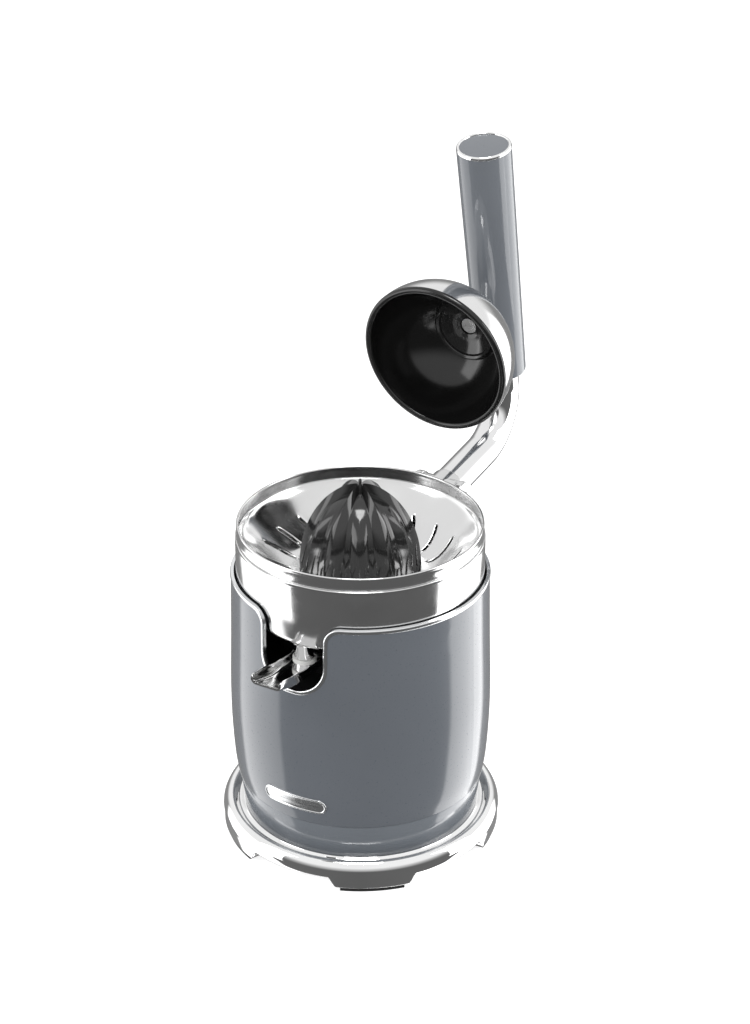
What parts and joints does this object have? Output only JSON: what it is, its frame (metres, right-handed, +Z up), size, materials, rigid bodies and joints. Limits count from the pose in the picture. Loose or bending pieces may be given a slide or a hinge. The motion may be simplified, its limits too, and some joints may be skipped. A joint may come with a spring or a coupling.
{
  "type": "citrus press juicer",
  "caption": "Motor citrus juicer: barrel body on a footed ring base, steel strainer bowl with ribbed reamer, drip-stop spout and a folding arm with a fruit dome.",
  "frame": {"origin": "on the standing surface, on the axis of the reamer, body and five-foot base", "axes": "+Z up along the reamer axis, -Y towards the juice spout, +Y towards the press arm hinge"},
  "size_m": [0.1802, 0.3077, 0.421],
  "materials": {
    "slate_paint": "gloss",
    "slate_gloss": "gloss",
    "slate_grip": "satin",
    "chrome": "polished",
    "bright_trim": "satin",
    "polished_steel": "polished",
    "black_gloss": "gloss",
    "black_matte": "matte",
    "foot_rubber": "matte",
    "silicone": "satin",
    "steel": "satin",
    "bronze": "satin",
    "copper": "satin",
    "iron": "matte",
    "die_cast": "satin",
    "nylon": "satin"
  },
  "bodies": {
    "base": {"outer_shell": "slate_paint", "hinge_bracket": "slate_paint", "base_collar": "slate_gloss", "base_ring": "chrome", "badge_plate": "chrome", "shell_trim": "bright_trim", "top_deck": "black_matte", "bottom_cover": "black_matte", "gearbox_housing": "black_matte", "gearbox_cover": "black_matte", "microswitch": "black_matte", "terminal_block": "black_matte", "cord_gland": "black_matte", "foot_pads": "foot_rubber", "shaft_seal": "foot_rubber", "bottom_screws": "steel", "hinge_pin": "steel", "hinge_pin_clip": "steel", "bracket_screws": "steel", "deck_screws": "steel", "motor_screws": "steel", "gearbox_screws": "steel", "idler_axle": "steel", "rear_frame": "steel", "motor_can": "steel", "spindle_bush": "bronze", "motor_bushes": "bronze", "output_bush": "bronze", "stator_windings": "copper", "stator_stack": "iron", "motor_flange": "die_cast"},
    "arm": {"arm_tube": "polished_steel", "hinge_knuckle": "polished_steel", "hinge_bushes": "bronze", "grip_sleeve": "slate_grip", "grip_end_ring": "chrome", "grip_end_cap": "slate_grip", "dome_shell": "polished_steel", "dome_liner": "black_gloss", "press_cup": "black_gloss", "dome_stem": "polished_steel", "stem_screw": "steel"},
    "rotor": {"rotor_core": "iron", "rotor_shaft": "steel", "motor_pinion": "die_cast"},
    "idler": {"idler_gear": "nylon"},
    "gear": {"output_gear": "nylon", "return_spring": "steel"},
    "spindle": {"drive_spindle": "steel", "spindle_clip": "steel"},
    "plunger": {"switch_plunger": "black_matte"},
    "cone": {"reamer_cone": "black_gloss", "cone_hub": "nylon"},
    "collector": {"juice_collector": "polished_steel", "spout_pin": "steel"},
    "spout": {"spout_trough": "polished_steel", "spout_seal": "silicone"},
    "strainer": {"strainer_bowl": "polished_steel"}
  },
  "joints": [
    {"name": "arm_fold", "type": "hinge", "parent": "base", "child": "arm", "pos_m": [0, 0.1, 0.193], "axis": [1, 0, 0], "range_deg": [0, 78.6]},
    {"name": "rotor_spin", "type": "hinge", "parent": "base", "child": "rotor", "pos_m": [0.01764, 0.02068, 0.06], "axis": [0, 0, 1], "continuous": true},
    {"name": "idler_spin", "type": "hinge", "parent": "base", "child": "idler", "pos_m": [0.035, 0, 0.1], "axis": [0, 0, 1], "continuous": true},
    {"name": "reamer_spin", "type": "hinge", "parent": "base", "child": "gear", "pos_m": [0, 0, 0.105], "axis": [0, 0, 1], "continuous": true},
    {"name": "reamer_press", "type": "slide", "parent": "gear", "child": "spindle", "axis": [0, 0, -1], "range_m": [0, 0.002], "stiffness_N_per_m": 3000, "springref_m": -0.003, "deforming": ["return_spring"]},
    {"name": "switch_press", "type": "slide", "parent": "base", "child": "plunger", "axis": [0, 0, -1], "range_m": [0, 0.002]},
    {"name": "reamer_lift", "type": "slide", "parent": "spindle", "child": "cone", "axis": [0, 0, -1], "range_m": [-0.138, 0]},
    {"name": "strainer_lift", "type": "slide", "parent": "base", "child": "strainer", "axis": [0, 0, -1], "range_m": [-0.096, 0]},
    {"name": "collector_lift", "type": "slide", "parent": "base", "child": "collector", "axis": [0, 0, -1], "range_m": [-0.06, 0]},
    {"name": "spout_flip", "type": "hinge", "parent": "collector", "child": "spout", "pos_m": [0, -0.056, 0.1495], "axis": [1, 0, 0], "range_deg": [0, 13]}
  ],
  "couplings": [
    {"joint": "idler_spin", "follows": "rotor_spin", "ratio": -0.28571},
    {"joint": "reamer_spin", "follows": "rotor_spin", "ratio": 0.077922},
    {"joint": "switch_press", "follows": "reamer_press", "ratio": 1},
    {"joint": "strainer_lift", "follows": "collector_lift", "ratio": 1.6},
    {"joint": "reamer_lift", "follows": "collector_lift", "ratio": 2.3}
  ]
}
